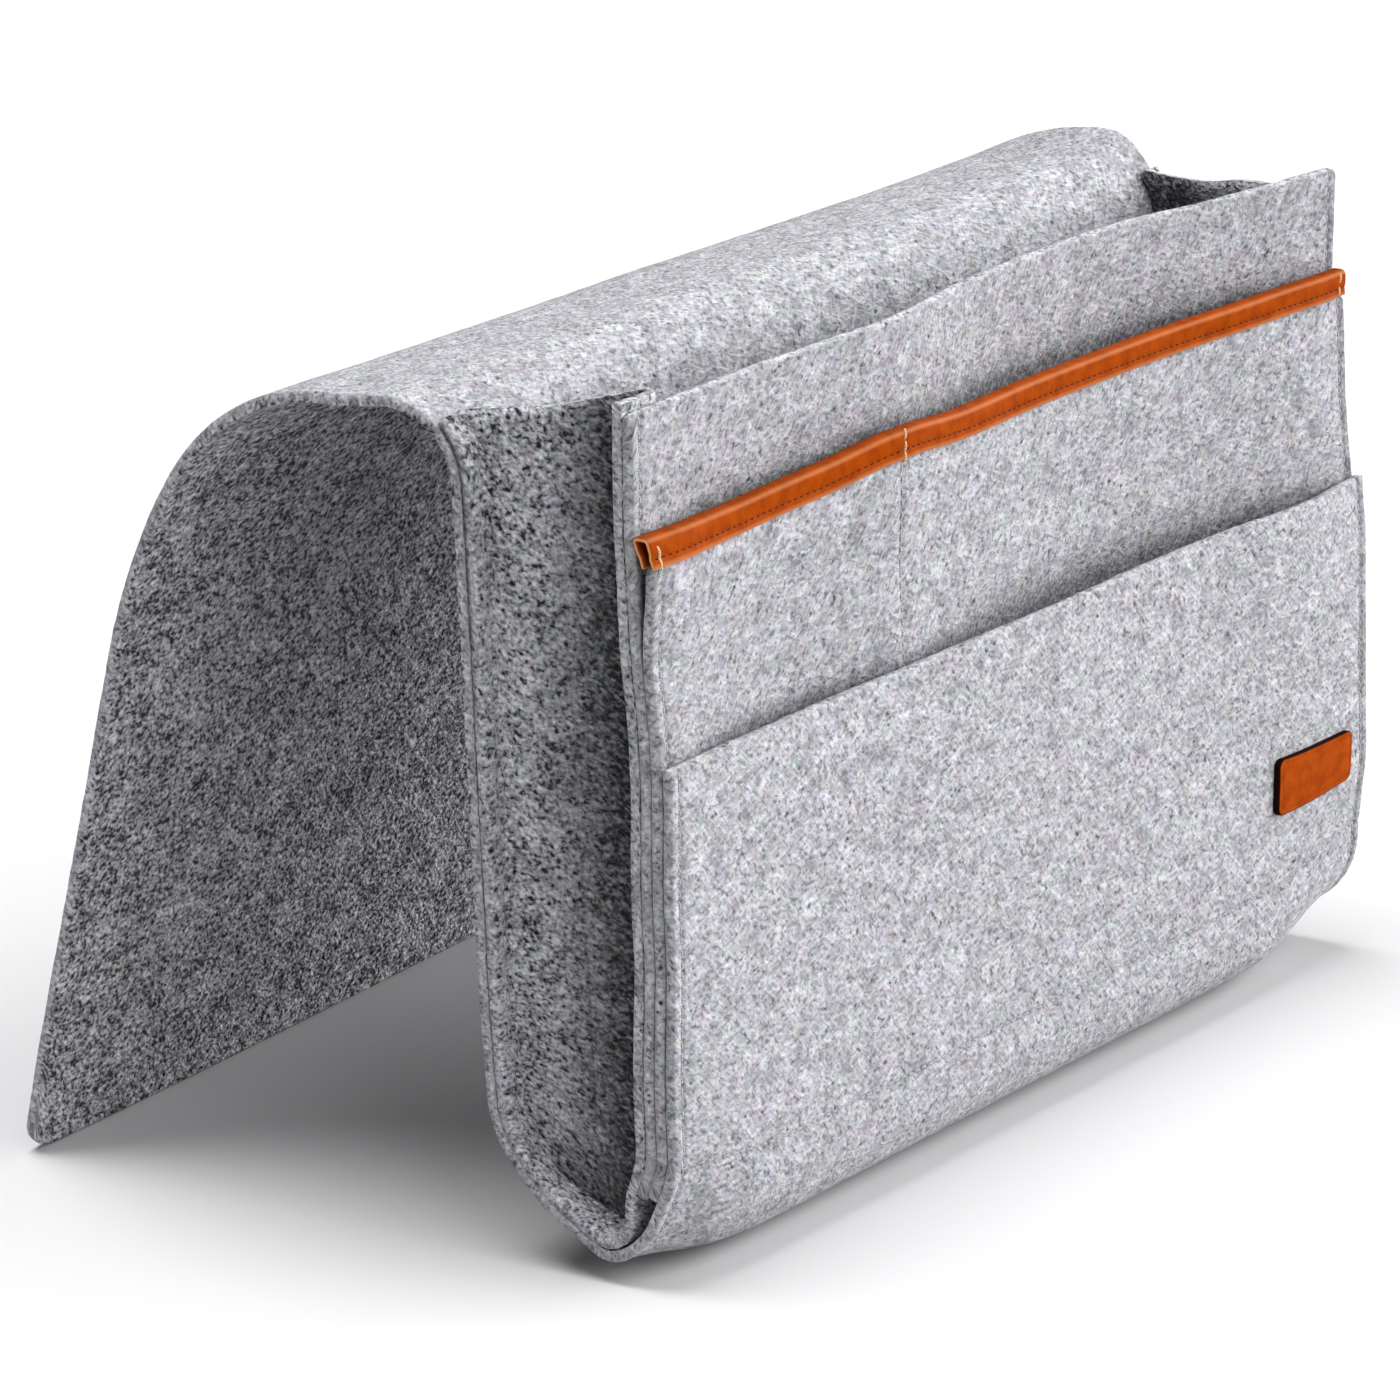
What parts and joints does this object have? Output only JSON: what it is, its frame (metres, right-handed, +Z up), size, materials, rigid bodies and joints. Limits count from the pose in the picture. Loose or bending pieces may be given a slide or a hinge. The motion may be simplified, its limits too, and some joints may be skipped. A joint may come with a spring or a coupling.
{
  "type": "bedside caddy",
  "caption": "Felt bedside caddy with a deep gusseted pocket, two flat front pockets, a leather-bound edge and a rear flap that folds out to tuck under a mattress.",
  "frame": {"origin": "middle of the footprint, on the surface that the caddy stands on", "axes": "+X along the caddy from its left end to its right end, +Y from the pocket front towards the bed, +Z up"},
  "size_m": [0.32, 0.2248, 0.2265],
  "materials": {
    "felt": "heather grey pressed felt, matt and slightly hairy",
    "leather": "orange-tan leather, soft sheen",
    "patch": "orange-tan leather, nearly matt, plain"
  },
  "bodies": {
    "bag": {"main_sheet": "felt", "middle_pocket_panel": "felt", "inner_front_panel": "felt", "left_gusset": "felt", "right_gusset": "felt", "leather_binding": "leather", "leather_patch": "patch"},
    "flap": {"mattress_flap": "felt"}
  },
  "joints": [
    {"name": "flap_fold", "type": "hinge", "parent": "bag", "child": "flap", "pos_m": [0, 0.03252, 0.2019], "axis": [1, 0, 0], "range_deg": [-42, 75], "stiffness_Nm_per_rad": 0.4}
  ]
}
